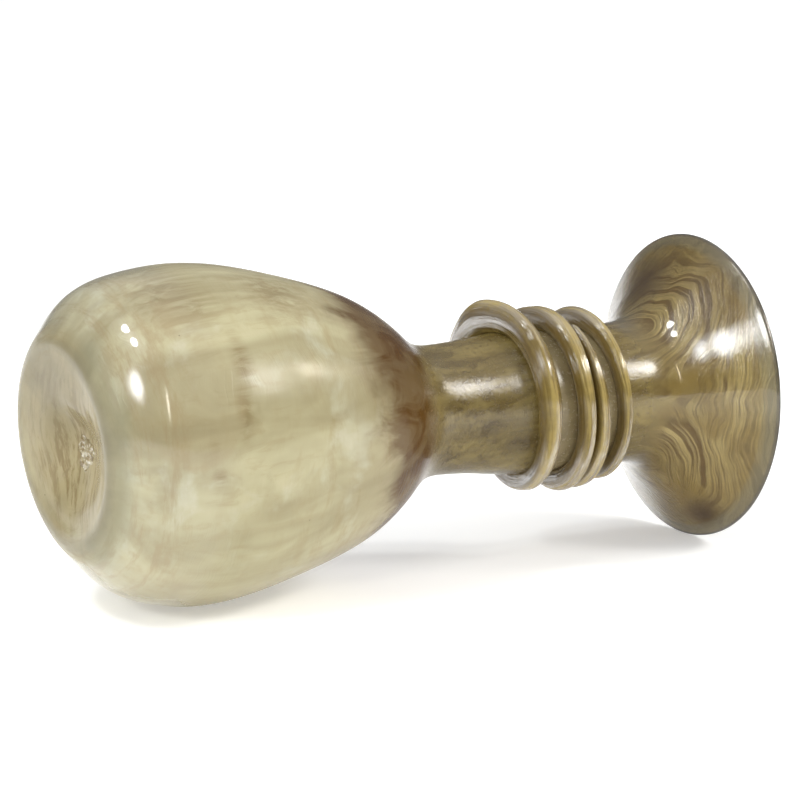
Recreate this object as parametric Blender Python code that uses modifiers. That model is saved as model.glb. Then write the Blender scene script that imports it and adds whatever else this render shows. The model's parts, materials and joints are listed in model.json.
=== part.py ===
"""Free-blown glass flask with a pear-shaped body, a funnel mouth and glass trails round its neck.

The flask lies on its side, on the widest ring of its body and on its lip. +Z is up, the floor is
Z = 0, and its own axis runs along +X, towards the mouth, sinking a little because the lip is
narrower than the body. Each piece is first shaped standing on its base, with the axis on Z, and
the empty called lay_down then turns all of them at once. All lengths are in metres.
"""

from math import atan2, cos, pi, radians, sin, tan

import bmesh
import bpy
from mathutils import Vector
from mathutils.geometry import interpolate_bezier

# Driving dimensions. Heights are measured along the axis from the resting ring of the base.
BODY_RADIUS = 0.0318
BODY_HEIGHT = 0.0240
FOOT_INNER_RADIUS = 0.0172
FOOT_OUTER_RADIUS = 0.0188
KICK_HEIGHT = 0.0053
WAIST_RADIUS = 0.01265
WAIST_HEIGHT = 0.0778
NECK_RADIUS = 0.0140
NECK_TOP_HEIGHT = 0.1188
MOUTH_RADIUS = 0.0301
MOUTH_HEIGHT = 0.1380

# Glass thickness at the foot, in the body and neck, and at the rounded lip.
FOOT_WALL = 0.0030
WALL = 0.0020
LIP_THICKNESS = 0.0013
FOOT_WALL_ENDS = 0.0168

# Hand-blown glass is not quite true: the base leans, and the section is wider than it is high.
BASE_LEAN = radians(3.8)
BASE_LEAN_STARTS = 0.0010
BASE_LEAN_ENDS = 0.0290
SIDE_SWELL = 1.008

SIDES = 40
CURVE_STEPS = 2
LIP_STEPS = 4
KICK_STEPS = 9
GAP = 0.0003
MERGE = 0.00001

# The outer surface, from the middle of the base to the lip: height, radius and heading. A heading
# is the outline's direction there, 0 along the axis to the mouth and 90 degrees straight outwards.
OUTER_STATIONS = (
    (KICK_HEIGHT, 0.0, 90.0),
    (0.0, FOOT_INNER_RADIUS, 90.0),
    (0.0, FOOT_OUTER_RADIUS, 90.0),
    (0.0024, 0.0227, 58.0),
    (0.0068, 0.0280, 36.0),
    (0.0133, 0.0306, 15.0),
    (BODY_HEIGHT, BODY_RADIUS, 0.0),
    (0.0433, 0.0286, -15.0),
    (0.0562, 0.0245, -22.5),
    (0.0658, 0.0189, -37.0),
    (0.0717, 0.0143, -33.0),
    (WAIST_HEIGHT, WAIST_RADIUS, 0.0),
    (0.0872, 0.0132, 7.0),
    (0.0953, NECK_RADIUS, 1.0),
    (NECK_TOP_HEIGHT, 0.0139, 2.0),
    (0.1259, 0.0155, 36.0),
    (0.1310, 0.0208, 48.0),
    (MOUTH_HEIGHT, MOUTH_RADIUS, 53.0),
)

# Each trail's stations: turn angle in degrees from the top of the neck towards its near side,
# height, reach of the outer side from the axis, and the thread's own radius.
LOWER_TRAIL = (
    (-75.0, 0.0915, 0.0172, 0.0013),
    (-45.0, 0.0924, 0.0190, 0.0022),
    (-22.0, 0.0931, 0.0205, 0.0028),
    (0.0, 0.0941, 0.0199, 0.0026),
    (40.0, 0.0946, 0.0191, 0.0023),
    (80.0, 0.0951, 0.0187, 0.0021),
    (180.0, 0.0978, 0.0175, 0.0015),
    (270.0, 0.1002, 0.0181, 0.0017),
    (360.0, 0.1028, 0.0187, 0.0020),
    (440.0, 0.1034, 0.0180, 0.0017),
    (540.0, 0.1057, 0.0182, 0.0016),
    (620.0, 0.1068, 0.0172, 0.0012),
)
UPPER_TRAIL = (
    (20.0, 0.1062, 0.0172, 0.0008),
    (80.0, 0.1070, 0.0176, 0.0013),
    (180.0, 0.1092, 0.0182, 0.0015),
    (270.0, 0.1107, 0.0178, 0.0015),
    (360.0, 0.1118, 0.0177, 0.0015),
    (440.0, 0.1126, 0.0172, 0.0013),
    (540.0, 0.1148, 0.0166, 0.0010),
    (610.0, 0.1155, 0.0164, 0.0008),
)
TRAIL_STEP = 15.0

# The pontil mark: the patch of glass that the working rod left in the middle of the base.
PONTIL_RADIUS = 0.0060
PONTIL_THICKNESS = 0.0009

GLASS_COLOURS = {
    "blown_vessel": (0.56, 0.52, 0.33, 1.0),
    "lower_trail": (0.45, 0.38, 0.17, 1.0),
    "upper_trail": (0.43, 0.36, 0.16, 1.0),
    "pontil_mark": (0.50, 0.44, 0.27, 1.0),
}


def smooth_step(value, start, end):
    """0 before start, 1 after end and an even S between them."""
    share = min(max((value - start) / (end - start), 0.0), 1.0)
    return share * share * (3.0 - 2.0 * share)


def heading_vector(degrees):
    return Vector((cos(radians(degrees)), sin(radians(degrees))))


def outline(stations):
    """Points (height, radius) and headings along one smooth curve through the stations."""
    points = [Vector(stations[0][:2])]
    for start, end in zip(stations, stations[1:]):
        first, last = Vector(start[:2]), Vector(end[:2])
        reach = (last - first).length / 3.0
        handle_1 = first + heading_vector(start[2]) * reach
        handle_2 = last - heading_vector(end[2]) * reach
        flat = start[2] == end[2] and start[0] == end[0]
        steps = KICK_STEPS if start[1] == 0.0 else CURVE_STEPS
        count = 2 if flat else steps + 1
        curve = interpolate_bezier(first, handle_1, handle_2, last, count)
        points.extend(Vector(point[:2]) for point in curve[1:])
    headings = []
    for index in range(len(points)):
        before, after = points[max(index - 1, 0)], points[min(index + 1, len(points) - 1)]
        along = after - before
        headings.append(atan2(along.y, along.x))
    headings[0] = radians(stations[0][2])
    headings[-1] = radians(stations[-1][2])
    return points, headings


def wall_at(height):
    """The glass is thickest at the foot, where the bubble was pressed in, and thins to the lip."""
    foot = 1.0 - smooth_step(height, 0.0, FOOT_WALL_ENDS)
    lip = smooth_step(height, NECK_TOP_HEIGHT, MOUTH_HEIGHT)
    return WALL + (FOOT_WALL - WALL) * foot + (LIP_THICKNESS - WALL) * lip


def inward(heading):
    """The direction from the outer surface into the glass."""
    return Vector((sin(heading), -cos(heading)))


def vessel_profile():
    """The section of the vessel: up the inside from the axis, over the lip, and down the outside."""
    points, headings = outline(OUTER_STATIONS)
    inner = []
    for point, heading in zip(points, headings):
        thickness = wall_at(point.x)
        inner.append(point + inward(heading) * thickness)
    inner[0].y = 0.0
    lip_heading = headings[-1]
    middle = points[-1] + inward(lip_heading) * (LIP_THICKNESS / 2)
    lip = []
    for step in range(1, LIP_STEPS):
        turn = lip_heading - pi / 2 + pi * step / LIP_STEPS
        lip.append(middle + Vector((cos(turn), sin(turn))) * (LIP_THICKNESS / 2))
    return inner + lip + points[::-1]


def add_object(name, data):
    item = bpy.data.objects.new(name, data)
    bpy.context.scene.collection.objects.link(item)
    return item


def solid_from(item):
    """A mesh object of the same name with the evaluated shape, its seams and caps welded."""
    name = item.name
    depsgraph = bpy.context.evaluated_depsgraph_get()
    mesh = bpy.data.meshes.new_from_object(item.evaluated_get(depsgraph))
    bpy.data.objects.remove(item)
    shell = bmesh.new()
    shell.from_mesh(mesh)
    bmesh.ops.remove_doubles(shell, verts=shell.verts, dist=MERGE)
    shell.to_mesh(mesh)
    shell.free()
    return add_object(name, mesh)


def turned_solid(name, profile):
    """A solid turned about Z from (height, radius) points, then leant and widened by hand."""
    mesh = bpy.data.meshes.new(name + "_profile")
    corners = [(point.y, 0.0, point.x) for point in profile]
    edges = [(index, index + 1) for index in range(len(corners) - 1)]
    mesh.from_pydata(corners, edges, [])
    turned = add_object(name, mesh)
    screw = turned.modifiers.new("turn", "SCREW")
    screw.steps = SIDES
    screw.render_steps = SIDES
    screw.use_merge_vertices = True
    screw.merge_threshold = MERGE
    solid = solid_from(turned)
    shape_by_hand(solid)
    return solid


def shape_by_hand(item):
    """Leans the base and widens the section, as the free-blown shape does."""
    for vertex in item.data.vertices:
        spot = vertex.co
        share = 1.0 - smooth_step(spot.z, BASE_LEAN_STARTS, BASE_LEAN_ENDS)
        spot.z += spot.x * tan(BASE_LEAN) * share
        spot.y *= SIDE_SWELL


def between(stations, angle):
    """Height, reach and thread radius at this angle, eased from station to station."""
    for index in range(len(stations) - 1):
        start, end = stations[index], stations[index + 1]
        if angle <= end[0]:
            before = stations[max(index - 1, 0)]
            after = stations[min(index + 2, len(stations) - 1)]
            span = end[0] - start[0]
            share = (angle - start[0]) / span
            values = []
            for column in (1, 2, 3):
                slope_1 = (end[column] - before[column]) / (end[0] - before[0]) * span
                slope_2 = (after[column] - start[column]) / (after[0] - start[0]) * span
                values.append(hermite(start[column], slope_1, end[column], slope_2, share))
            return values
    return list(stations[-1][1:])


def hermite(start, slope_1, end, slope_2, share):
    """A cubic that leaves start at slope_1 and reaches end at slope_2."""
    square, cube = share * share, share * share * share
    return (
        (2 * cube - 3 * square + 1) * start
        + (cube - 2 * square + share) * slope_1
        + (3 * square - 2 * cube) * end
        + (cube - square) * slope_2
    )


def make_trail(name, stations):
    """A thread of glass wound round the neck as a right-handed helix, as one closed mesh."""
    first, last = stations[0][0], stations[-1][0]
    count = round((last - first) / TRAIL_STEP)
    curve = bpy.data.curves.new(name + "_path", "CURVE")
    curve.dimensions = "3D"
    curve.bevel_depth = 1.0
    curve.bevel_resolution = 2
    curve.use_fill_caps = True
    spline = curve.splines.new("POLY")
    spline.points.add(count)
    for index in range(count + 1):
        angle = first + (last - first) * index / count
        height, reach, thread = between(stations, angle)
        turn = pi + radians(angle)
        distance = reach - thread
        spot = (distance * cos(turn), distance * sin(turn) * SIDE_SWELL, height, 1.0)
        spline.points[index].co = spot
        spline.points[index].radius = thread
    return solid_from(add_object(name, curve))


def make_pontil_mark():
    """A thin lens of glass that follows the hollow of the base, a gap below it."""
    points, headings = outline(OUTER_STATIONS[:2])
    near_side, far_side = [], []
    for point, heading in zip(points, headings):
        if point.y > PONTIL_RADIUS:
            break
        outward = inward(heading) * -1.0
        edge = 1.0 - (point.y / PONTIL_RADIUS) ** 2
        near_side.append(point + outward * GAP)
        far_side.append(point + outward * (GAP + PONTIL_THICKNESS * (0.35 + 0.65 * edge)))
    profile = near_side + far_side[::-1]
    profile[0].y = 0.0
    profile[-1].y = 0.0
    return turned_solid("pontil_mark", profile)


def glass(name, colour):
    material = bpy.data.materials.new(name)
    material.use_nodes = True
    shader = material.node_tree.nodes["Principled BSDF"]
    shader.inputs["Base Color"].default_value = colour
    shader.inputs["Roughness"].default_value = 0.12
    shader.inputs["Metallic"].default_value = 0.0
    material.diffuse_color = colour
    return material


def smooth(item):
    item.data.shade_smooth()
    item.data.set_sharp_from_angle(angle=radians(40.0))


def lay_down(pieces):
    """Turns the standing flask onto its side, lowest point on the floor and centred over X and Y."""
    holder = bpy.data.objects.new("lay_down", None)
    bpy.context.scene.collection.objects.link(holder)
    sink = atan2(BODY_RADIUS - MOUTH_RADIUS, MOUTH_HEIGHT - BODY_HEIGHT)
    holder.rotation_euler = (0.0, pi / 2 + sink, 0.0)
    for piece in pieces:
        piece.parent = holder
    bpy.context.view_layer.update()
    corners = [piece.matrix_world @ v.co for piece in pieces for v in piece.data.vertices]
    low = Vector([min(corner[axis] for corner in corners) for axis in range(3)])
    high = Vector([max(corner[axis] for corner in corners) for axis in range(3)])
    holder.location = (-(low.x + high.x) / 2, -(low.y + high.y) / 2, -low.z)


def main():
    for item in list(bpy.data.objects):
        bpy.data.objects.remove(item, do_unlink=True)
    pieces = [
        turned_solid("blown_vessel", vessel_profile()),
        make_trail("lower_trail", LOWER_TRAIL),
        make_trail("upper_trail", UPPER_TRAIL),
        make_pontil_mark(),
    ]
    collection = bpy.data.collections.new("blown_flask")
    bpy.context.scene.collection.children.link(collection)
    for piece in pieces:
        bpy.context.scene.collection.objects.unlink(piece)
        collection.objects.link(piece)
        piece.data.materials.clear()
        piece.data.materials.append(glass(piece.name + "_glass", GLASS_COLOURS[piece.name]))
        smooth(piece)
    lay_down(pieces)


main()
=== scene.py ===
"""Looks of the free-blown glass flask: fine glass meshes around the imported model, their glass and
weathering, the floor, the studio light and the camera.

Shapes are first made standing, with the flask's axis on Z and its foot at the origin, and are then
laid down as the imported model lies. Lengths are in metres, and each mesh carries its standing
coordinates in centimetres, from which the materials place their stains and streaks.
"""

import json
from math import atan2, cos, pi, radians, sin, tan

import bpy
import numpy as np
from mathutils import Matrix, Quaternion, Vector


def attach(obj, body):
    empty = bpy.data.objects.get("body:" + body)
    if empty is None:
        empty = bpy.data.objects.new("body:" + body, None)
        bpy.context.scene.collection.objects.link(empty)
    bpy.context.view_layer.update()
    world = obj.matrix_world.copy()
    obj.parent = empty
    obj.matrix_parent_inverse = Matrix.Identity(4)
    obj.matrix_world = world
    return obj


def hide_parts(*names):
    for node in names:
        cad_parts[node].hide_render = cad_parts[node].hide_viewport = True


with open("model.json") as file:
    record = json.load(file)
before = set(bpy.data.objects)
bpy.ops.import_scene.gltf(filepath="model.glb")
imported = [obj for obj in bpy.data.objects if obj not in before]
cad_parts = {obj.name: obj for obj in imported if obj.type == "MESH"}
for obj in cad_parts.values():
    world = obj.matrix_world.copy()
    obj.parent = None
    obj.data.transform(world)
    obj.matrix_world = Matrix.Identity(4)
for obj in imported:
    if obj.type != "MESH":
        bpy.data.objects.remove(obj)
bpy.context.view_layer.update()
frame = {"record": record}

# The flask's own dimensions, as the model has them. Heights run along the axis from the foot ring.
BODY_RADIUS = 0.0318
BODY_HEIGHT = 0.0240
FOOT_RADIUS = 0.0180
KICK_HEIGHT = 0.0053
WAIST_RADIUS = 0.01265
WAIST_HEIGHT = 0.0778
NECK_RADIUS = 0.0140
NECK_TOP_HEIGHT = 0.1188
MOUTH_RADIUS = 0.0301
MOUTH_HEIGHT = 0.1380
FOOT_WALL = 0.0030
WALL = 0.0020
LIP_THICKNESS = 0.0013
FOOT_WALL_ENDS = 0.0168
BASE_LEAN = radians(3.8)
BASE_LEAN_STARTS = 0.0010
BASE_LEAN_ENDS = 0.0290
SIDE_SWELL = 1.008

# The outer surface, from the middle of the base to the lip: height, radius and heading.
OUTER_STATIONS = (
    (KICK_HEIGHT, 0.0, 90.0),
    (0.0030, 0.0090, 111.0),
    (0.0009, 0.0145, 101.0),
    (0.0, FOOT_RADIUS, 90.0),
    (0.0006, 0.0201, 66.0),
    (0.0026, 0.0229, 50.0),
    (0.0070, 0.0275, 38.0),
    (0.0135, 0.0305, 13.5),
    (BODY_HEIGHT, BODY_RADIUS, 0.0),
    (0.0433, 0.0286, -15.0),
    (0.0562, 0.0245, -22.5),
    (0.0658, 0.0189, -37.0),
    (0.0717, 0.0143, -33.0),
    (WAIST_HEIGHT, WAIST_RADIUS, 0.0),
    (0.0872, 0.0132, 7.0),
    (0.0953, NECK_RADIUS, 1.0),
    (NECK_TOP_HEIGHT, 0.0139, 2.0),
    (0.1259, 0.0155, 36.0),
    (0.1310, 0.0208, 48.0),
    (MOUTH_HEIGHT, MOUTH_RADIUS, 53.0),
)

KICK_AND_FOOT = OUTER_STATIONS[:4]
KICK = OUTER_STATIONS[:3]
STRAIGHT_NECK = OUTER_STATIONS[13:18]

# Each trail's stations: turn angle in degrees from the top of the neck towards its near side,
# height, reach of the outer side from the axis, and half the thread's width along the axis.
LOWER_TRAIL = (
    (-75.0, 0.0915, 0.0160, 0.0011),
    (-45.0, 0.0924, 0.0190, 0.0021),
    (-22.0, 0.0931, 0.0205, 0.0026),
    (0.0, 0.0941, 0.0199, 0.0025),
    (40.0, 0.0946, 0.0191, 0.0023),
    (80.0, 0.0951, 0.0187, 0.0022),
    (180.0, 0.0978, 0.0175, 0.0019),
    (270.0, 0.1002, 0.0181, 0.0019),
    (360.0, 0.1028, 0.0187, 0.0020),
    (440.0, 0.1034, 0.0180, 0.0018),
    (540.0, 0.1057, 0.0182, 0.0018),
    (620.0, 0.1068, 0.0166, 0.0012),
)
UPPER_TRAIL = (
    (20.0, 0.1062, 0.0172, 0.0010),
    (80.0, 0.1070, 0.0176, 0.0014),
    (180.0, 0.1092, 0.0182, 0.0017),
    (270.0, 0.1107, 0.0178, 0.0017),
    (360.0, 0.1118, 0.0177, 0.0016),
    (440.0, 0.1126, 0.0172, 0.0014),
    (540.0, 0.1148, 0.0166, 0.0012),
    (610.0, 0.1155, 0.0158, 0.0009),
)

# Steps round the vessel, along each curve of its outline, along the dent's middle and over the lip.
ROUND_STEPS = 216
CURVE_STEPS = 9
KICK_STEPS = 30
LIP_STEPS = 12

mount = frame["record"]["mounts"][0]["pos_m"]
FOOT_CENTRE = Vector((mount[0], 0.0, mount[2]))
SINK = atan2(BODY_RADIUS - MOUTH_RADIUS, MOUTH_HEIGHT - BODY_HEIGHT)
LAY = Matrix.Translation(FOOT_CENTRE) @ Matrix.Rotation(pi / 2 + SINK, 4, "Y")


# ---------------------------------------------------------------- shapes


def smooth_step(value, start, end):
    """0 before start, 1 after end and an even S between them."""
    share = np.clip((value - start) / (end - start), 0.0, 1.0)
    return share * share * (3.0 - 2.0 * share)


def outline(stations):
    """Points (height, radius) and unit headings along one smooth curve through the stations."""
    points = [np.array(stations[0][:2])]
    headings = [heading_vector(stations[0][2])]
    for start, end in zip(stations, stations[1:]):
        first, last = np.array(start[:2]), np.array(end[:2])
        reach = np.linalg.norm(last - first) / 3.0
        handle_1 = first + heading_vector(start[2]) * reach
        handle_2 = last - heading_vector(end[2]) * reach
        steps = KICK_STEPS if start[1] == 0.0 else CURVE_STEPS
        for step in range(1, steps + 1):
            t = step / steps
            u = 1.0 - t
            points.append(
                u ** 3 * first + 3 * u * u * t * handle_1 + 3 * u * t * t * handle_2 + t ** 3 * last
            )
            along = (
                u * u * (handle_1 - first) + 2 * u * t * (handle_2 - handle_1) + t * t * (last - handle_2)
            )
            headings.append(along / np.linalg.norm(along))
    return np.array(points), np.array(headings)


def heading_vector(angle):
    """Unit vector (height, radius) at this heading: 0 runs up the axis and 90 straight out from it."""
    return np.array((cos(radians(angle)), sin(radians(angle))))


def wall_at(height):
    """The glass is thickest at the foot, where the bubble was pressed in, and thins to the lip."""
    foot = 1.0 - smooth_step(height, 0.0, FOOT_WALL_ENDS)
    lip = smooth_step(height, NECK_TOP_HEIGHT, MOUTH_HEIGHT)
    return WALL + (FOOT_WALL - WALL) * foot + (LIP_THICKNESS - WALL) * lip


def ripple(height, turn, waves):
    """An uneven surface from 0 to 1, as a sum of waves: (per metre of height, per turn, phase)."""
    total = 0.0
    for per_height, per_turn, phase in waves:
        total = total + np.sin(per_height * height + per_turn * turn + phase)
    return 0.5 + 0.5 * total / len(waves)


OUTER_WAVES = ((95.0, 2, 0.4), (-140.0, 3, 1.9), (260.0, 1, 4.0), (60.0, 5, 2.2), (330.0, -4, 0.9))
INNER_WAVES = ((120.0, 3, 2.4), (-210.0, 2, 0.3), (340.0, -1, 1.2), (90.0, 6, 5.1), (480.0, 2, 3.3))
OUTER_RIPPLE = 0.00010
INNER_RIPPLE = 0.00050

# The ripple dies out in the middle of the base and towards the lip.
RIPPLE_SETS_IN = 0.012
INNER_CALM_FROM = 0.1350
INNER_CALM = 0.9
OUTER_CALM_FROM = 0.1370

# The kick is shallower on one side: the share of its depth lost, the side's direction across the
# axis, how the loss spreads round from it, and the radii between which it sets in.
KICK_ZONE = 0.0120
FLATTENED = 0.75
FLAT_SIDE = (-0.78, 0.62)
FLAT_SPREAD = (-0.5, 0.8)
FLAT_RADII = (0.002, 0.010)
SMALLEST_RADIUS = 0.001


def lean_and_swell(places):
    """Flattens one side of the kick, leans the base and widens the section, as free-blown shapes do."""
    share = 1.0 - smooth_step(places[:, 2], BASE_LEAN_STARTS, BASE_LEAN_ENDS)
    places = places.copy()
    points, _ = outline(KICK_AND_FOOT)
    radii = np.hypot(places[:, 0], places[:, 1])
    depth = np.interp(radii, points[:, 1], points[:, 0], right=0.0)
    towards = FLAT_SIDE[0] * places[:, 0] + FLAT_SIDE[1] * places[:, 1]
    share_flat = smooth_step(towards / np.maximum(radii, SMALLEST_RADIUS), *FLAT_SPREAD)
    in_kick = (places[:, 2] < KICK_ZONE) & (radii < FOOT_RADIUS)
    places[:, 2] -= FLATTENED * depth * share_flat * smooth_step(radii, *FLAT_RADII) * in_kick
    places[:, 2] += places[:, 0] * tan(BASE_LEAN) * share
    places[:, 1] *= SIDE_SWELL
    return places


# The fine meshes are this much smaller than the model, to stay inside its box.
TUCKED = 0.9997


def add_mesh(name, places, faces, attributes):
    """A smooth mesh object laid down in the frame, with its standing coordinates in centimetres."""
    laid = np.array(LAY)
    world = (places * TUCKED) @ laid[:3, :3].T + laid[:3, 3]
    mesh = bpy.data.meshes.new(name)
    mesh.from_pydata(world.tolist(), [], faces)
    stand = mesh.attributes.new("stand", "FLOAT_VECTOR", "POINT")
    stand.data.foreach_set("vector", (places * 100.0).astype(np.float32).ravel())
    for key, values in attributes.items():
        layer = mesh.attributes.new(key, "FLOAT", "POINT")
        layer.data.foreach_set("value", values.astype(np.float32))
    mesh.shade_smooth()
    mesh.update()
    item = bpy.data.objects.new(name, mesh)
    bpy.context.scene.collection.objects.link(item)
    return item


def closed_tube(rings, poles, flip=False):
    """Places and faces of a tube through rings of points, closed by a fan round a pole at each end."""
    count, steps = len(rings), len(rings[0])
    places = np.concatenate((*rings, np.array(poles)))
    faces = []
    for ring in range(count - 1):
        near, far = ring * steps, (ring + 1) * steps
        for step in range(steps):
            after = (step + 1) % steps
            faces.append((near + step, near + after, far + after, far + step))
    last = (count - 1) * steps
    first_pole, last_pole = count * steps, count * steps + 1
    for step in range(steps):
        after = (step + 1) % steps
        faces.append((first_pole, after, step))
        faces.append((last_pole, last + step, last + after))
    if flip:
        faces = [face[::-1] for face in faces]
    return places, faces


def make_vessel():
    """Body, neck and funnel as one closed wall of glass, with an uneven inside."""
    points, headings = outline(OUTER_STATIONS)
    walls = wall_at(points[:, 0])
    inward = np.stack((headings[:, 1], -headings[:, 0]), axis=1)
    lip_start = atan2(headings[-1][1], headings[-1][0]) - pi / 2
    lip_turns = lip_start + pi * np.arange(1, LIP_STEPS) / LIP_STEPS
    lip_middle = points[-1] + inward[-1] * LIP_THICKNESS / 2
    lip = lip_middle + np.stack((np.cos(lip_turns), np.sin(lip_turns)), axis=1) * LIP_THICKNESS / 2
    turns = 2 * pi * np.arange(ROUND_STEPS) / ROUND_STEPS
    cos_turns, sin_turns = np.cos(turns), np.sin(turns)
    rings, inside = [], []

    def add_ring(height, radius, flag):
        level = np.broadcast_to(height, turns.shape)
        rings.append(np.stack((radius * cos_turns, radius * sin_turns, level), axis=1))
        inside.append(flag)

    count = len(points)
    for index in range(1, count):
        height, radius = points[index]
        depth = walls[index]
        near_lip = INNER_CALM * smooth_step(height, INNER_CALM_FROM, MOUTH_HEIGHT)
        calm = smooth_step(radius, 0.0, RIPPLE_SETS_IN) * (1.0 - near_lip)
        depth = depth + INNER_RIPPLE * calm * (ripple(height, turns, INNER_WAVES) - 0.5)
        add_ring(height + inward[index][0] * depth, radius + inward[index][1] * depth, 1.0)
    for height, radius in lip:
        add_ring(height, radius, 0.5)
    for index in range(count - 1, 0, -1):
        height, radius = points[index]
        near_lip = smooth_step(height, OUTER_CALM_FROM, MOUTH_HEIGHT)
        calm = smooth_step(radius, 0.0, RIPPLE_SETS_IN) * (1.0 - near_lip)
        sunk = OUTER_RIPPLE * calm * ripple(height, turns, OUTER_WAVES)
        add_ring(height + inward[index][0] * sunk, radius + inward[index][1] * sunk, 0.0)
    poles = ((0.0, 0.0, KICK_HEIGHT + walls[0]), (0.0, 0.0, KICK_HEIGHT))
    places, faces = closed_tube(rings, poles, flip=True)
    flags = np.concatenate((np.repeat(inside, ROUND_STEPS), (1.0, 0.0)))
    return add_mesh("flask_vessel", lean_and_swell(places), faces, {"inside": flags})


def eased(stations, angles):
    """Columns of the stations at these angles, on smooth curves through them."""
    table = np.array(stations)
    knots = table[:, 0]
    slopes = np.gradient(table[:, 1:], knots, axis=0)
    index = np.clip(np.searchsorted(knots, angles, side="right") - 1, 0, len(knots) - 2)
    span = (knots[index + 1] - knots[index])[:, None]
    share = (angles - knots[index])[:, None] / span
    square, cube = share ** 2, share ** 3
    return (
        (2 * cube - 3 * square + 1) * table[index, 1:]
        + (cube - 2 * square + share) * slopes[index] * span
        + (3 * square - 2 * cube) * table[index + 1, 1:]
        + (cube - square) * slopes[index + 1] * span
    )


def neck_radius(heights):
    """Radius of the straight neck at these heights."""
    points, _ = outline(STRAIGHT_NECK)
    return np.interp(heights, points[:, 0], points[:, 1])


TRAIL_STEP = 2.5
SECTION_STEPS = 40
SUNK_IN_NECK = 0.0004

# How far the thread wanders along the neck, and how often as it goes round.
WANDER = 0.00012
WANDER_RATE = 2.3

# Degrees over which its ends taper. The cap reaches a little past them, and the taper sinks them.
CAP_OUTSIDE = 1.0
BLUNT_CAP = 3.0
START_TAPER = 22.0
END_TAPER = 24.0
TAPER_SINKS = 0.8

# Its section is an oval with flattened sides, filled to the mean size.
MEAN_SIZE = 0.92
FLATTER_OUT = 0.85
FLATTER_ALONG = 0.95

# Soft ridges on the section: height, count round the section, twist along the thread and phase.
RIDGES = ((0.050, 3.0, 0.5, 1.0), (0.030, 5.0, -0.8, 2.0), (0.018, 9.0, 1.7, 1.0))

# A snapped end is uneven in its first rings.
SNAPPED_RINGS = 2
SNAPPED_RIPPLE = 0.00035

# Centimetres along the thread for each degree round the neck.
RUN_PER_DEGREE = 1.7 / 57.3


def flattened(value, power):
    """The value's size to a power, with its sign kept."""
    return np.sign(value) * np.abs(value) ** power


def make_trail(name, stations, blunt_start, shift):
    """A thread of glass fused to the neck: oval in section, with soft ridges that run along it.

    The shift moves its waves and ridges, so that no two threads are alike.
    """
    first, last = stations[0][0], stations[-1][0]
    count = int(round((last - first) / TRAIL_STEP)) + 1
    angles = np.linspace(first, last, count)
    columns = eased(stations, angles)
    heights, reaches, widths = columns[:, 0], columns[:, 1], columns[:, 2]
    lowest = neck_radius(heights) - SUNK_IN_NECK
    middle, tall = (reaches + lowest) / 2, (reaches - lowest) / 2
    heights = heights + WANDER * np.sin(radians(WANDER_RATE) * angles + shift)
    around = 2 * pi * np.arange(SECTION_STEPS) / SECTION_STEPS
    start_taper = BLUNT_CAP if blunt_start else START_TAPER
    start_cap = smooth_step(angles, first - CAP_OUTSIDE, first + start_taper)
    end_cap = 1.0 - smooth_step(angles, last - END_TAPER, last + CAP_OUTSIDE)
    taper = np.sqrt(np.clip(start_cap * end_cap, 0.0, 1.0))
    rings = []
    for index in range(count):
        swirl = radians(angles[index])
        turn = pi + swirl
        ridge = sum(
            rise * np.cos(lobes * around + twist * swirl + phase * shift)
            for rise, lobes, twist, phase in RIDGES
        )
        size = taper[index] * (MEAN_SIZE + ridge)
        out = tall[index] * size * flattened(np.cos(around), FLATTER_OUT)
        along = widths[index] * size * flattened(np.sin(around), FLATTER_ALONG)
        if blunt_start and index < SNAPPED_RINGS:
            along = along + SNAPPED_RIPPLE * np.cos(2.0 * around + shift)
        distance = middle[index] - tall[index] * (1.0 - taper[index]) * TAPER_SINKS + out
        rings.append(
            np.stack(
                (distance * cos(turn), distance * sin(turn) * SIDE_SWELL, heights[index] + along), axis=1
            )
        )
    places, faces = closed_tube(rings, (rings[0].mean(axis=0), rings[-1].mean(axis=0)))
    run = np.concatenate((np.repeat(angles, SECTION_STEPS), (first, last))) * RUN_PER_DEGREE
    side = np.concatenate((np.tile(around, count), (0.0, 0.0)))
    extra = {"run": run, "side_cos": np.cos(side), "side_sin": np.sin(side)}
    return add_mesh(name, places, faces, extra)


PONTIL_RADIUS = 0.0046
PONTIL_SHIFT = 0.0017
PONTIL_RINGS = 24
PONTIL_STEPS = 72

# The scar's edge as shares of its radius: the mean, and waves by share, count round it and phase.
PONTIL_MEAN = 0.66
PONTIL_EDGE = ((0.09, 3, 0.7), (0.06, 7, 2.1))

# Its front stands proud by the mean and by the crags, a touch more at the edge, and its back is
# sunk in the base.
PONTIL_FRONT = 0.00012
PONTIL_CRAGS = 0.00042
PONTIL_EDGE_LIFT = 0.00002
PONTIL_SUNK = 0.00030

# The crags: share, waves per metre across and along, and phase.
CRAG_WAVES = ((0.45, 1100.0, 500.0, 1.0), (0.35, 700.0, -1700.0, 2.0), (0.20, 2900.0, 2300.0, 0.5))


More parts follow.
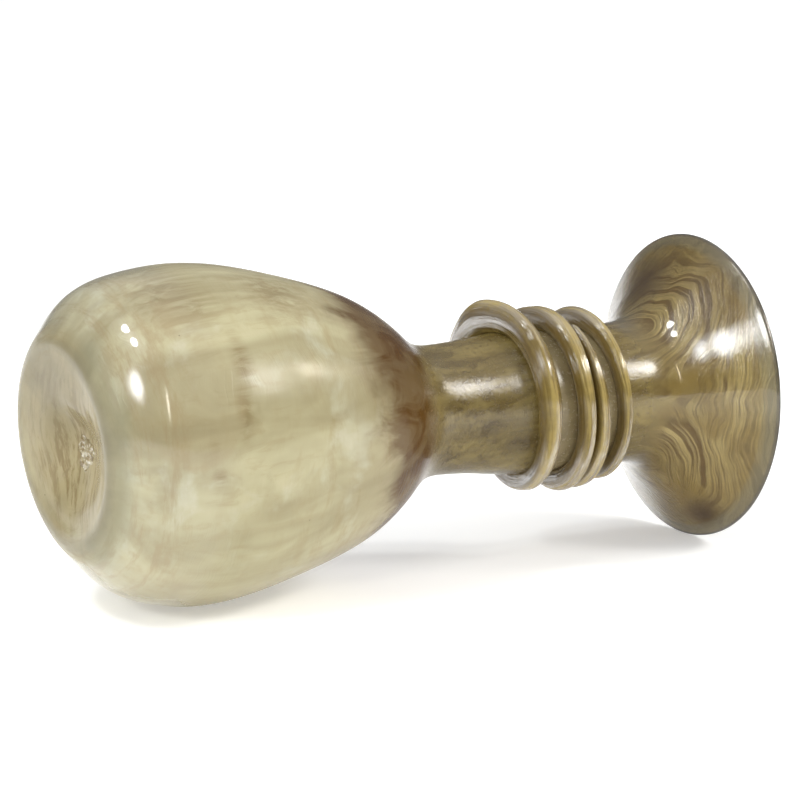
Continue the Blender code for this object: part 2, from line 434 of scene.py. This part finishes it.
def make_pontil():
    """The scar in the middle of the base: a craggy patch of glass, broken off the working rod."""
    rings = PONTIL_RINGS
    turns = 2 * pi * np.arange(PONTIL_STEPS) / PONTIL_STEPS
    points, _ = outline(KICK)
    base_radii, base_heights = points[:, 1], points[:, 0]
    uneven = sum(share * np.sin(lobes * turns + phase) for share, lobes, phase in PONTIL_EDGE)
    edge = PONTIL_RADIUS * (PONTIL_MEAN + uneven)
    grid = []
    for front in (True, False):
        for ring in range(1, rings + 1):
            share = ring / rings
            across, along = edge * share * np.cos(turns) + PONTIL_SHIFT, edge * share * np.sin(turns)
            radius = np.hypot(across, along)
            height = np.interp(radius, base_radii, base_heights)
            if front:
                crag = sum(
                    share_of * np.abs(np.sin(per_across * across + per_along * along + phase))
                    for share_of, per_across, per_along, phase in CRAG_WAVES
                )
                proud = (1.0 - share ** 4) * (PONTIL_FRONT + PONTIL_CRAGS * crag ** 2)
                height = height - proud - PONTIL_EDGE_LIFT
            else:
                height = height + PONTIL_SUNK
            grid.append(np.stack((across, along, height), axis=1))
    order = grid[:rings] + grid[rings:][::-1]
    places, faces = closed_tube(order, (order[0].mean(axis=0), order[-1].mean(axis=0)), flip=True)
    return add_mesh("flask_pontil_scar", lean_and_swell(places), faces, {})


# ---------------------------------------------------------------- materials


class Glass:
    """Builds one material's nodes around its Principled shader."""

    def __init__(self, name):
        self.material = bpy.data.materials.new(name)
        self.material.use_nodes = True
        self.tree = self.material.node_tree
        self.shader = self.tree.nodes["Principled BSDF"]

    def node(self, kind, **settings):
        made = self.tree.nodes.new("ShaderNode" + kind)
        for key, value in settings.items():
            setattr(made, key, value)
        return made

    def feed(self, socket, value):
        """Links a socket, or sets a colour or a plain value."""
        if isinstance(value, bpy.types.NodeSocket):
            self.tree.links.new(value, socket)
        elif isinstance(value, tuple) and socket.type == "RGBA":
            socket.default_value = (*value, 1.0)
        else:
            socket.default_value = value

    def into(self, name, value):
        """Feeds the shader's own socket."""
        self.feed(self.shader.inputs[name], value)

    def math(self, operation, *values):
        made = self.node("Math", operation=operation)
        for socket, value in zip(made.inputs, values):
            self.feed(socket, value)
        return made.outputs[0]

    def product(self, first, *others):
        for other in others:
            first = self.math("MULTIPLY", first, other)
        return first

    def attribute(self, name, vector=False):
        made = self.node("Attribute", attribute_name=name)
        return made.outputs["Vector" if vector else "Fac"]

    def split(self, vector):
        made = self.node("SeparateXYZ")
        self.feed(made.inputs[0], vector)
        return made.outputs

    def join(self, *values):
        made = self.node("CombineXYZ")
        for socket, value in zip(made.inputs, values):
            self.feed(socket, value)
        return made.outputs[0]

    def noise(self, vector, scale, detail, rough=0.5, distortion=0.0):
        made = self.node("TexNoise")
        self.feed(made.inputs["Vector"], vector)
        made.inputs["Scale"].default_value = scale
        made.inputs["Detail"].default_value = detail
        made.inputs["Roughness"].default_value = rough
        made.inputs["Distortion"].default_value = distortion
        return made.outputs["Fac"]

    def cells(self, vector, scale):
        """Distance from the middle of scattered cells."""
        made = self.node("TexVoronoi", feature="F1")
        self.feed(made.inputs["Vector"], vector)
        made.inputs["Scale"].default_value = scale
        return made.outputs["Distance"]

    def step(self, value, start, end):
        """0 at start, 1 at end, smooth between, and the other way round if end is lower."""
        made = self.node("MapRange", interpolation_type="SMOOTHSTEP")
        self.feed(made.inputs["Value"], value)
        low, high = min(start, end), max(start, end)
        made.inputs["From Min"].default_value = low
        made.inputs["From Max"].default_value = high
        made.inputs["To Min"].default_value = 0.0 if start < end else 1.0
        made.inputs["To Max"].default_value = 1.0 if start < end else 0.0
        return made.outputs[0]

    def within(self, value, rise, fall):
        """The product of two steps, one up and one down."""
        return self.product(self.step(value, *rise), self.step(value, *fall))

    def blend(self, share, low, high):
        made = self.node("Mix", data_type="FLOAT")
        self.feed(made.inputs[0], share)
        self.feed(made.inputs[2], low)
        self.feed(made.inputs[3], high)
        return made.outputs[0]

    def tint(self, share, low, high):
        made = self.node("Mix", data_type="RGBA")
        self.feed(made.inputs[0], share)
        self.feed(made.inputs[6], low)
        self.feed(made.inputs[7], high)
        return made.outputs[2]

    def bump(self, height, distance, strength, normal=None):
        made = self.node("Bump")
        made.inputs["Strength"].default_value = strength
        made.inputs["Distance"].default_value = distance
        self.feed(made.inputs["Height"], height)
        if normal is not None:
            self.feed(made.inputs["Normal"], normal)
        return made.outputs[0]

    def reach(self, place, centre, size):
        """Distance from a centre (in standing centimetres), 1 at the size (x, y, z)."""
        moved = self.node("VectorMath", operation="SUBTRACT")
        self.feed(moved.inputs[0], place)
        moved.inputs[1].default_value = centre
        scaled = self.node("VectorMath", operation="DIVIDE")
        self.feed(scaled.inputs[0], moved.outputs[0])
        scaled.inputs[1].default_value = size
        length = self.node("VectorMath", operation="LENGTH")
        self.feed(length.inputs[0], scaled.outputs[0])
        return length.outputs["Value"]

    def spot(self, place, centre, size):
        """1 at the centre, fading to 0 at the size."""
        return self.step(self.reach(place, centre, size), 1.0, 0.0)


GLASS_IOR = 1.5

# The vessel's glass, film and dirt, with the painted shade, painted light and painted reflection laid
# over them.
BODY_DEEP = (0.43, 0.375, 0.21)
BODY_PALE = (0.56, 0.515, 0.32)
BODY_HOOPS = (0.38, 0.29, 0.13)
BODY_STREAKS = (0.38, 0.30, 0.15)
BODY_CLOUDS = (0.72, 0.71, 0.55)
SMUDGE = (0.29, 0.215, 0.10)
BASE_SHOWING = (0.44, 0.36, 0.20)
SHOULDER = (0.40, 0.33, 0.19)
BASE_RINGS = (0.40, 0.31, 0.16)
DENT = (0.47, 0.395, 0.215)
DENT_STREAKS = (0.24, 0.165, 0.065)
HEEL_PAINTED_REFLECTION = (0.30, 0.315, 0.225)
FOOT_PAINTED_SHADE = (0.33, 0.275, 0.155)
FOOT_SHADE = (0.25, 0.215, 0.135)
NECK_DEEP = (0.14, 0.093, 0.020)
NECK_PALE = (0.34, 0.258, 0.085)
NECK_DIRT = (0.10, 0.06, 0.02)
TRAIL_GAP_PAINTED_LIGHT = (0.60, 0.50, 0.31)
BAND = (0.085, 0.038, 0.006)
FUNNEL_DEEP = (0.17, 0.115, 0.025)
FUNNEL_PALE = (0.35, 0.275, 0.105)
FUNNEL_SIDES_PAINTED_SHADE = (0.15, 0.095, 0.016)
FUNNEL_LINES = (0.060, 0.026, 0.003)
FUNNEL_STAIN = (0.050, 0.022, 0.004)
LIP_BAND = (0.15, 0.135, 0.085)
LIP_EDGE_PAINTED_SHADE = (0.06, 0.05, 0.04)
SPECKS = (0.10, 0.06, 0.03)

# Places as a centre and a size in standing centimetres: brown smudges on the body and dark stains
# in the funnel, each with its strength, the patch where the base shows through, and the base's
# far side, where shade is painted.
SMUDGES = (
    ((-1.80, -2.64, 2.28), (0.75, 0.9, 0.30), 0.90),
    ((-1.00, -2.98, 2.14), (0.90, 0.7, 0.24), 0.80),
    ((0.19, -3.13, 1.61), (0.26, 0.5, 0.22), 1.0),
    ((-0.38, -3.09, 1.51), (0.70, 0.5, 0.16), 0.45),
    ((-2.80, -1.30, 1.60), (1.30, 1.8, 1.30), 0.80),
    ((-2.60, -1.20, 3.60), (1.20, 1.4, 1.40), 0.70),
)
FUNNEL_STAINS = (
    ((2.45, -1.15, 13.55), (0.65, 1.0, 0.42), 1.0),
    ((-2.05, 0.70, 13.10), (0.9, 1.2, 0.9), 0.8),
)
BASE_SHOWS = ((-1.45, -2.70, 1.22), (1.58, 2.5, 1.05))
FAR_SIDE = ((-1.3, 0.8, 0.1), (1.9, 2.2, 1.0))


class VesselGlass(Glass):
    """Pale olive glass under a milky, brown-stained film that thins towards the mouth.

    Its fields are sockets that the colour, the film and the gloss share. x, y and z are standing
    centimetres, and turn_x and turn_y point from the axis to the surface.
    """

    def __init__(self):
        super().__init__("weathered_glass")
        self.place = self.attribute("stand", vector=True)
        self.x, self.y, self.z = self.split(self.place)
        self.inside = self.attribute("inside")
        squares = self.math("ADD", self.product(self.x, self.x), self.product(self.y, self.y))
        self.radius = self.math("SQRT", squares)
        turn = self.node("VectorMath", operation="NORMALIZE")
        self.feed(turn.inputs[0], self.join(self.x, self.y, 0.0))
        self.turn_x, self.turn_y, _ = self.split(turn.outputs[0])

        self.foot = self.step(self.math("MULTIPLY_ADD", self.x, -0.066, self.z), 0.28, 0.10)
        self.neck = self.step(self.z, 6.3, 7.5)
        self.funnel = self.step(self.z, 11.7, 12.6)

        # Drawn out along the body while it was blown, and a little twisted.
        self.drift = self.noise(self.place, 0.55, 2.0)
        self.lengthwise = self.join(
            self.math("ADD", self.x, self.product(self.z, 0.10)),
            self.y,
            self.math("MULTIPLY_ADD", self.drift, 1.6, self.product(self.z, 0.16)),
        )
        self.broad = self.noise(self.lengthwise, 0.75, 3.0, 0.55, 0.6)
        self.fine = self.noise(self.lengthwise, 5.0, 5.0, 0.62, 0.3)
        self.clouds = self.noise(self.place, 0.9, 4.0, 0.55, 0.4)
        self.dirt = self.noise(self.place, 13.0, 5.0, 0.72)

        # The dark brown band where the shoulder meets the neck, with a ragged lower side.
        ragged = self.math("MULTIPLY_ADD", self.noise(self.lengthwise, 1.1, 4.0, 0.6, 0.5), 2.2, self.z)
        above = self.step(self.math("MULTIPLY_ADD", self.x, -0.15, ragged), 6.0, 7.0)
        self.band = self.product(above, self.step(self.z, 7.4, 6.7))

        self.lines = self.funnel_lines()
        stains = [self.product(self.spot(self.place, *at), share) for *at, share in FUNNEL_STAINS]
        self.stains = self.math("MAXIMUM", *stains)

    def round_axis(self, value, spread):
        """A place for noise that changes with the value, and slowly round the axis."""
        return self.join(value, self.product(self.turn_x, spread), self.product(self.turn_y, spread))

    def body_colour(self):
        """Milky film with hoops, streaks, clouds and smudges."""
        colour = self.tint(self.step(self.broad, 0.30, 0.70), BODY_DEEP, BODY_PALE)
        height = self.math("MULTIPLY_ADD", self.noise(self.place, 0.35, 2.0), 1.1, self.z)
        hoops = self.noise(self.round_axis(height, 0.8), 4.2, 5.0, 0.66, 0.15)
        share = self.blend(self.step(self.z, 2.6, 4.6), 0.14, 0.40)
        colour = self.tint(self.product(self.step(hoops, 0.46, 0.68), share), colour, BODY_HOOPS)
        share = self.blend(self.step(self.z, 2.4, 4.4), 0.28, 0.12)
        colour = self.tint(self.product(self.step(self.fine, 0.50, 0.68), share), colour, BODY_STREAKS)
        colour = self.tint(self.product(self.step(self.clouds, 0.52, 0.75), 0.5), colour, BODY_CLOUDS)
        mottle = self.step(self.fine, 0.30, 0.62)
        for centre, size, share in SMUDGES:
            smudged = self.product(self.spot(self.place, centre, size), mottle, share)
            colour = self.tint(smudged, colour, SMUDGE)
        shown = self.step(self.reach(self.place, *BASE_SHOWS), 1.0, 0.90)
        share = self.blend(self.step(self.x, -1.8, 0.0), 0.15, 0.50)
        colour = self.tint(self.product(shown, share), colour, BASE_SHOWING)
        return self.tint(self.product(self.step(self.z, 3.9, 5.6), 0.45), colour, SHOULDER)

    def with_base(self, colour):
        """Adds the rings round the base and the streaks in its dent, a painted reflection on the heel,
        and painted shade on the foot, its ring and its far side.
        """
        rings = self.noise(self.round_axis(self.radius, 0.30), 6.0, 5.0, 0.66, 0.2)
        near_base = self.product(self.step(rings, 0.48, 0.66), self.step(self.z, 2.0, 0.7))
        colour = self.tint(self.product(near_base, 0.70), colour, BASE_RINGS)

        bowed = self.math("MULTIPLY_ADD", self.product(self.x, self.x), 0.22, self.y)
        streakwise = self.join(bowed, self.product(self.x, 0.16), self.product(self.drift, 0.8))
        streaks = self.noise(streakwise, 7.0, 5.0, 0.66, 0.1)
        dent_colour = self.tint(self.product(self.step(streaks, 0.44, 0.62), 0.7), DENT, DENT_STREAKS)
        in_dent = self.product(self.step(self.radius, 2.0, 1.1), self.step(self.z, 1.5, 0.9))
        colour = self.tint(in_dent, colour, dent_colour)

        # Painted reflection of the dim room: a grey-green crescent on the near side of the heel.
        heel_reflection = self.product(
            self.product(self.step(self.turn_y, -0.10, -0.60), self.step(self.z, 0.9, 0.3)),
            self.within(self.radius, (1.62, 1.88), (2.50, 2.10)),
        )
        colour = self.tint(self.product(heel_reflection, 0.52), colour, HEEL_PAINTED_REFLECTION)
        # Painted shade over the foot, which the lamps and windows light more than the rest of the body.
        colour = self.tint(self.product(self.foot, 0.42), colour, FOOT_PAINTED_SHADE)
        # Painted shade on the base's far side and on its ring.
        far_shade = self.product(self.spot(self.place, *FAR_SIDE), 0.55)
        on_ring = self.within(self.radius, (1.60, 1.80), (2.10, 1.90))
        ring_shade = self.product(on_ring, self.step(self.z, 0.4, 0.2), 0.45)
        return self.tint(self.math("MAXIMUM", far_shade, ring_shade), colour, FOOT_SHADE)

    def neck_colour(self):
        """Browner glass with dirt in its pores, and painted light on the neck between the trails."""
        flow = self.noise(self.lengthwise, 3.2, 5.0, 0.64, 0.5)
        colour = self.tint(self.step(flow, 0.32, 0.70), NECK_DEEP, NECK_PALE)
        colour = self.tint(self.product(self.step(self.dirt, 0.53, 0.66), 0.8), colour, NECK_DIRT)
        # Painted light: the neck between the trails is made paler.
        lit_trail_gap = self.within(self.z, (9.3, 9.7), (11.5, 11.1))
        return self.tint(self.product(lit_trail_gap, 0.5), colour, TRAIL_GAP_PAINTED_LIGHT)

    def funnel_lines(self):
        """Swirled, wood-like lines, coarse and fine: noise along a field of wavering distances."""
        folded = self.math("SQRT", self.math("MULTIPLY_ADD", self.x, self.x, 0.30))
        away = self.reach(self.join(folded, self.y, self.z), (1.5, -0.4, 12.1), (1.0, 1.0, 1.0))
        wavering = self.product(self.noise(self.place, 0.55, 2.0, 0.5, 0.3), 1.3)
        swirl = self.math("ADD", away, wavering)
        swirl = self.math("MULTIPLY_ADD", self.noise(self.place, 3.2, 2.0), 0.07, swirl)
        coarse = self.noise(self.round_axis(swirl, 0.10), 7.0, 4.0, 0.62)
        threads = self.noise(self.round_axis(swirl, 0.05), 24.0, 3.0, 0.6)
        patchy = self.step(self.noise(self.place, 0.9, 3.0, 0.55, 0.5), 0.36, 0.56)
        strong = self.product(self.step(coarse, 0.48, 0.58), patchy)
        lines = self.math("MAXIMUM", strong, self.product(self.step(threads, 0.48, 0.62), 0.55))
        lines = self.product(lines, self.blend(self.step(self.radius, 2.3, 2.7), 1.0, 0.75))
        return self.product(lines, self.blend(self.step(self.inside, 0.2, 0.6), 1.0, 0.25))

    def funnel_colour(self):
        """Clearer brown glass, darker in its lines and stains and in a band at the lip, with painted
        shade along its upper and lower sides and on the lip's edge.
        """
        colour = self.tint(self.step(self.clouds, 0.38, 0.64), FUNNEL_DEEP, FUNNEL_PALE)
        # Painted shade: the funnel is darker towards its upper and lower sides.
        shaded_sides = self.step(self.math("ABSOLUTE", self.math("ADD", self.x, 0.35)), 0.1, 1.9)
        colour = self.tint(self.product(shaded_sides, 0.6), colour, FUNNEL_SIDES_PAINTED_SHADE)
        colour = self.tint(self.product(self.lines, 0.9), colour, FUNNEL_LINES)
        colour = self.tint(self.product(self.stains, 0.92), colour, FUNNEL_STAIN)
        colour = self.tint(self.product(self.step(self.radius, 2.76, 2.84), 0.6), colour, LIP_BAND)
        # Painted shade on the lip's rounded edge.
        edge = self.step(self.math("ABSOLUTE", self.math("SUBTRACT", self.inside, 0.5)), 0.48, 0.30)
        return self.tint(self.product(edge, 0.85), colour, LIP_EDGE_PAINTED_SHADE)

    def colour(self):
        """All the zones' colours, and dark specks of soil over them."""
        colour = self.with_base(self.body_colour())
        colour = self.tint(self.neck, colour, self.neck_colour())
        wear = self.step(self.noise(self.lengthwise, 1.4, 4.0, 0.6, 1.0), 0.40, 0.62)
        colour = self.tint(self.product(self.band, self.blend(wear, 0.86, 1.0)), colour, BAND)
        colour = self.tint(self.funnel, colour, self.funnel_colour())
        speck = self.step(self.cells(self.place, 2.3), 0.055, 0.020)
        speck = self.product(speck, self.step(self.dirt, 0.50, 0.60), 0.8)
        return self.tint(speck, colour, SPECKS)

    def clearness(self):
        """What isn't film is clear glass."""
        film = self.blend(self.neck, 0.74, 0.62)
        film = self.blend(self.band, film, 0.95)
        film = self.blend(self.funnel, film, 0.06)
        film = self.math("ADD", film, self.product(self.math("SUBTRACT", self.broad, 0.5), 0.5))
        marked = self.product(self.math("MAXIMUM", self.lines, self.stains), self.funnel, 0.42)
        film = self.math("ADD", film, marked)
        film = self.blend(self.inside, film, self.product(film, 0.9))
        clear = self.math("SUBTRACT", 1.0, film)
        clear.node.use_clamp = True
        return clear

    def roughness(self):
        """Satin on the body, smoother on the neck apart from its dirt, and polished on the funnel."""
        rough = self.blend(self.neck, 0.26, 0.20)
        rough = self.blend(self.funnel, rough, 0.03)
        rough = self.math("ADD", rough, self.product(self.step(self.dirt, 0.45, 0.7), self.neck, 0.12))
        return self.blend(self.inside, rough, self.math("ADD", rough, 0.04))

    def gloss(self):
        """The coat's share, dulled by weather on the body, the foot, parts of the neck and the inside."""
        in_foot = self.product(self.step(self.radius, 1.95, 1.75), self.step(self.z, 1.5, 0.9))
        foot = self.math("MAXIMUM", self.foot, in_foot)
        upper = self.product(self.step(self.x, -0.95, -1.25), self.step(self.z, 12.2, 11.6))
        dulled = self.math("MAXIMUM", self.step(self.x, -0.2, 0.45), upper)
        dulled = self.math("MAXIMUM", dulled, self.product(self.funnel, self.step(self.y, -1.0, -0.3)))
        dulled = self.math("MAXIMUM", dulled, self.step(self.inside, 0.55, 0.9))
        matt = self.within(self.z, (1.5, 2.2), (7.0, 6.4))
        return self.product(
            self.blend(matt, 1.0, 0.10),
            self.blend(foot, 1.0, 0.12),
            self.blend(self.product(self.neck, dulled), 1.0, 0.12),
        )

    def relief(self):
        """Slow waves of blown glass, and dirt and lines that stand a little proud."""
        waves = self.bump(self.noise(self.lengthwise, 1.6, 3.0, 0.5, 0.4), 0.0004, 0.25)
        dirt = self.product(self.dirt, self.blend(self.neck, 0.03, 0.9))
        return self.bump(self.math("ADD", dirt, self.product(self.lines, 0.3)), 0.00022, 0.35, waves)

    def coat_relief(self):
        """Fainter waves, and the neck's pores."""
        waves = self.bump(self.noise(self.lengthwise, 1.6, 3.0, 0.5, 0.4), 0.0002, 0.15)
        pores = self.product(self.neck, self.step(self.z, 12.4, 11.6), self.dirt)
        return self.bump(pores, 0.00030, 0.20, waves)


def vessel_material():
    """The vessel's shader, fed with what its glass computes."""
    g = VesselGlass()
    g.into("Base Color", g.colour())
    g.into("Transmission Weight", g.clearness())
    g.into("Roughness", g.roughness())
    g.into("IOR", GLASS_IOR)
    g.into("Specular IOR Level", 0.16)
    g.into("Coat Weight", g.gloss())
    g.into("Coat Roughness", 0.035)
    g.into("Coat IOR", GLASS_IOR)
    g.into("Normal", g.relief())
    g.into("Coat Normal", g.coat_relief())
    return g.material


TRAIL_DEEP = (0.22, 0.15, 0.035)
TRAIL_PALE = (0.38, 0.285, 0.09)
TRAIL_BROWN = (0.17, 0.10, 0.025)
TRAIL_FLANK_PAINTED_SHADE = (0.10, 0.06, 0.012)


def trail_material(name, tone):
    """Golden-olive glass, drawn out so that its colour and surface streak along the thread, with painted
    shade on its flanks.
    """
    g = Glass(name)
    place = g.attribute("stand", vector=True)
    run, side_cos, side_sin = g.attribute("run"), g.attribute("side_cos"), g.attribute("side_sin")
    flow = g.join(g.product(run, 0.22), side_cos, side_sin)
    threads = g.noise(flow, 2.6, 4.0, 0.6, 0.25)
    broad = g.noise(flow, 0.8, 2.0, 0.5, 0.3)
    deep = tuple(part * tone for part in TRAIL_DEEP)
    colour = g.tint(g.step(threads, 0.38, 0.62), deep, TRAIL_PALE)
    colour = g.tint(g.product(g.step(broad, 0.55, 0.75), 0.6), colour, TRAIL_BROWN)
    # Painted shade: the thread's upper and lower flanks are darker.
    shaded_flanks = g.step(g.math("ABSOLUTE", side_sin), 0.55, 1.0)
    g.into("Base Color", g.tint(g.product(shaded_flanks, 0.80), colour, TRAIL_FLANK_PAINTED_SHADE))
    grime = g.noise(place, 6.0, 5.0, 0.65)
    clouded = g.math("ADD", g.product(threads, 0.6), g.product(grime, 0.4))
    g.into("Transmission Weight", g.blend(g.step(clouded, 0.46, 0.62), 0.30, 0.10))
    g.into("Roughness", g.blend(g.step(grime, 0.45, 0.70), 0.03, 0.16))
    g.into("IOR", GLASS_IOR)
    g.into("Specular IOR Level", 0.06)
    px, _, _ = g.split(place)
    g.into("Coat Weight", g.blend(g.within(px, (0.3, -0.4), (-1.9, -1.5)), 0.10, 0.85))
    g.into("Coat Roughness", 0.02)
    g.into("Normal", g.bump(grime, 0.00015, 0.3, g.bump(threads, 0.0011, 0.35)))
    g.into("Coat Normal", g.bump(threads, 0.0008, 0.30))
    return g.material


SCAR_CLEAR = (0.48, 0.41, 0.24)
SCAR_DIRT = (0.24, 0.165, 0.065)


def pontil_material():
    """Broken glass: clear facets with brown dirt in the hollows."""
    g = Glass("broken_glass")
    place = g.attribute("stand", vector=True)
    grime = g.noise(place, 9.0, 5.0, 0.65)
    g.into("Base Color", g.tint(g.step(grime, 0.42, 0.62), SCAR_CLEAR, SCAR_DIRT))
    g.into("Transmission Weight", g.blend(g.step(grime, 0.45, 0.6), 0.30, 0.1))
    g.into("Roughness", g.blend(g.step(grime, 0.4, 0.7), 0.06, 0.35))
    g.into("IOR", GLASS_IOR)
    g.into("Normal", g.bump(g.cells(place, 7.0), 0.0012, 0.9))
    return g.material


def finish_piece(piece, material, node):
    """Gives the piece its glass, hides the CAD node it replaces and hangs the piece under the root body.
    """
    piece.data.materials.clear()
    piece.data.materials.append(material)
    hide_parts(node)
    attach(piece, "root")


# ---------------------------------------------------------------- floor, light and camera


FLOOR_SIZE = 6.0
FLOOR_CELLS = 24
FLOOR_COLOUR = (0.93, 0.93, 0.925)
FLOOR_GLOW = 0.36


def make_floor():
    """A plain pale table top that reaches past the camera's view."""
    size, cells = FLOOR_SIZE, FLOOR_CELLS
    places, faces = [], []
    for row in range(cells + 1):
        for column in range(cells + 1):
            places.append((size * (column / cells - 0.5), size * (row / cells - 0.5), 0.0))
    for row in range(cells):
        for column in range(cells):
            corner = row * (cells + 1) + column
            faces.append((corner, corner + 1, corner + cells + 2, corner + cells + 1))
    mesh = bpy.data.meshes.new("floor")
    mesh.from_pydata(places, [], faces)
    floor = bpy.data.objects.new("floor", mesh)
    bpy.context.scene.collection.objects.link(floor)
    g = Glass("pale_floor")
    g.into("Base Color", FLOOR_COLOUR)
    g.into("Roughness", 0.7)
    g.into("Specular IOR Level", 0.2)
    g.into("Emission Color", (1.0, 1.0, 1.0))
    g.into("Emission Strength", FLOOR_GLOW)
    mesh.materials.append(g.material)


# The room's brightness: position from the horizon (0) to overhead (1), and level.
ROOM_LEVELS = ((0.03, 0.26), (0.30, 0.28), (0.58, 0.66))
ROOM_STRENGTH = 0.78


def make_world():
    """A soft studio: a dim room at eye level that brightens towards the ceiling."""
    world = bpy.data.worlds.new("studio")
    bpy.context.scene.world = world
    world.use_nodes = True
    tree = world.node_tree
    background = tree.nodes["Background"]
    coordinates = tree.nodes.new("ShaderNodeTexCoord")
    split = tree.nodes.new("ShaderNodeSeparateXYZ")
    ramp = tree.nodes.new("ShaderNodeValToRGB")
    tree.links.new(coordinates.outputs["Generated"], split.inputs[0])
    tree.links.new(split.outputs["Z"], ramp.inputs[0])
    tree.links.new(ramp.outputs[0], background.inputs["Color"])
    stops = ramp.color_ramp.elements
    stops[0].position, stops[0].color = 0.0, (0.85, 0.85, 0.85, 1.0)
    stops[1].position, stops[1].color = 1.0, (1.0, 1.0, 1.0, 1.0)
    for position, level in ROOM_LEVELS:
        stop = stops.new(position)
        stop.color = (level, level * 1.01, level * 1.04, 1.0)
    background.inputs["Strength"].default_value = ROOM_STRENGTH


FLASK_MIDDLE = Vector((0.0, 0.0, 0.032))
LIGHT_DISTANCE = 1.5
WHITE, WARM, COOL = (1.0, 0.985, 0.96), (1.0, 0.93, 0.80), (0.95, 0.98, 1.0)

# Round lamps and windows: name, azimuth, elevation, width, height, power, colour and roll. Azimuth 0
# is in front (-Y) and 90 is beyond the mouth (+X).
LAMPS = (
    ("lamp_1", -114.0, 57.0, 0.19, 0.19, 3.6, COOL, 0.0),
    ("lamp_2", -92.0, 56.0, 0.19, 0.19, 3.6, COOL, 0.0),
)
WINDOWS = (
    ("left_window", -77.0, 28.0, 0.48, 0.74, 30.0, COOL, 31.0),
    ("right_window", 42.0, 37.0, 0.80, 0.75, 42.0, WHITE, 0.0),
    ("warm_window", 66.0, 32.0, 0.40, 0.40, 17.0, WARM, 0.0),
    ("front_strip", -37.0, 28.0, 0.15, 0.90, 6.0, WARM, 0.0),
)


def add_area_light(shape, name, azimuth, elevation, width, height, power, colour, roll):
    """An area light aimed at the flask."""
    data = bpy.data.lights.new(name, "AREA")
    data.shape = shape
    data.size = width
    data.size_y = height
    data.energy = power
    data.color = colour
    lamp = bpy.data.objects.new(name, data)
    bpy.context.scene.collection.objects.link(lamp)
    a, e = radians(azimuth), radians(elevation)
    way = Vector((sin(a) * cos(e), -cos(a) * cos(e), sin(e)))
    lamp.location = FLASK_MIDDLE + way * LIGHT_DISTANCE
    aim = (-way).to_track_quat("-Z", "Y") @ Quaternion((0.0, 0.0, 1.0), radians(roll))
    lamp.rotation_euler = aim.to_euler()
    return data


def soften(lamp_data):
    """The lamp is brightest in its middle and fades towards its edges."""
    lamp_data.use_nodes = True
    tree = lamp_data.node_tree
    emission = tree.nodes["Emission"]
    place = tree.nodes.new("ShaderNodeNewGeometry")
    offset = tree.nodes.new("ShaderNodeVectorMath")
    offset.operation = "SUBTRACT"
    offset.inputs[1].default_value = (0.5, 0.5, 0.0)
    length = tree.nodes.new("ShaderNodeVectorMath")
    length.operation = "LENGTH"
    fade = tree.nodes.new("ShaderNodeMapRange")
    fade.interpolation_type = "SMOOTHERSTEP"
    fade.inputs["From Min"].default_value = 0.0
    fade.inputs["From Max"].default_value = 0.5
    fade.inputs["To Min"].default_value = 1.0
    fade.inputs["To Max"].default_value = 0.0
    tree.links.new(place.outputs["Parametric"], offset.inputs[0])
    tree.links.new(offset.outputs[0], length.inputs[0])
    tree.links.new(length.outputs["Value"], fade.inputs["Value"])
    tree.links.new(fade.outputs[0], emission.inputs["Strength"])


def make_lights():
    """Two small round lamps over the shoulder and base, and soft windows and a strip round the flask."""
    for lamp in LAMPS:
        add_area_light("DISK", *lamp)
    for window in WINDOWS:
        soften(add_area_light("RECTANGLE", *window))


CAMERA_TURN = radians(30.69)
CAMERA_PITCH = radians(11.0)
CAMERA_DISTANCE = 0.645
LENS = 159.08
SENSOR = 36.0

# What it looks at, from the foot's middle: along the flask's axis, and right and up in the picture.
AIM_ALONG = 0.009765
AIM_RIGHT = 0.052877
AIM_UP = 0.007585


def make_camera():
    """The camera looks past the base towards the mouth, and a little down."""
    axis = Vector((cos(SINK), 0.0, -sin(SINK)))
    right = Vector((cos(CAMERA_TURN), -sin(CAMERA_TURN), 0.0))
    level = cos(CAMERA_PITCH)
    forward = Vector((sin(CAMERA_TURN) * level, cos(CAMERA_TURN) * level, -sin(CAMERA_PITCH)))
    up = right.cross(forward)
    aim = FOOT_CENTRE + axis * AIM_ALONG + right * AIM_RIGHT + up * AIM_UP
    data = bpy.data.cameras.new("camera")
    data.lens = LENS
    data.sensor_width = SENSOR
    camera = bpy.data.objects.new("camera", data)
    bpy.context.scene.collection.objects.link(camera)
    camera.matrix_world = Matrix.Translation(aim - forward * CAMERA_DISTANCE) @ Matrix(
        (
            (right.x, up.x, -forward.x, 0.0),
            (right.y, up.y, -forward.y, 0.0),
            (right.z, up.z, -forward.z, 0.0),
            (0.0, 0.0, 0.0, 1.0),
        )
    )
    bpy.context.scene.camera = camera


finish_piece(make_vessel(), vessel_material(), "blown_vessel")
finish_piece(
    make_trail("flask_lower_trail", LOWER_TRAIL, False, 0.6),
    trail_material("lower_trail_glass", 1.0),
    "lower_trail",
)
finish_piece(
    make_trail("flask_upper_trail", UPPER_TRAIL, True, 2.1),
    trail_material("upper_trail_glass", 0.92),
    "upper_trail",
)
finish_piece(make_pontil(), pontil_material(), "pontil_mark")
make_floor()
make_world()
make_lights()
make_camera()
bpy.context.scene.view_settings.view_transform = "Standard"
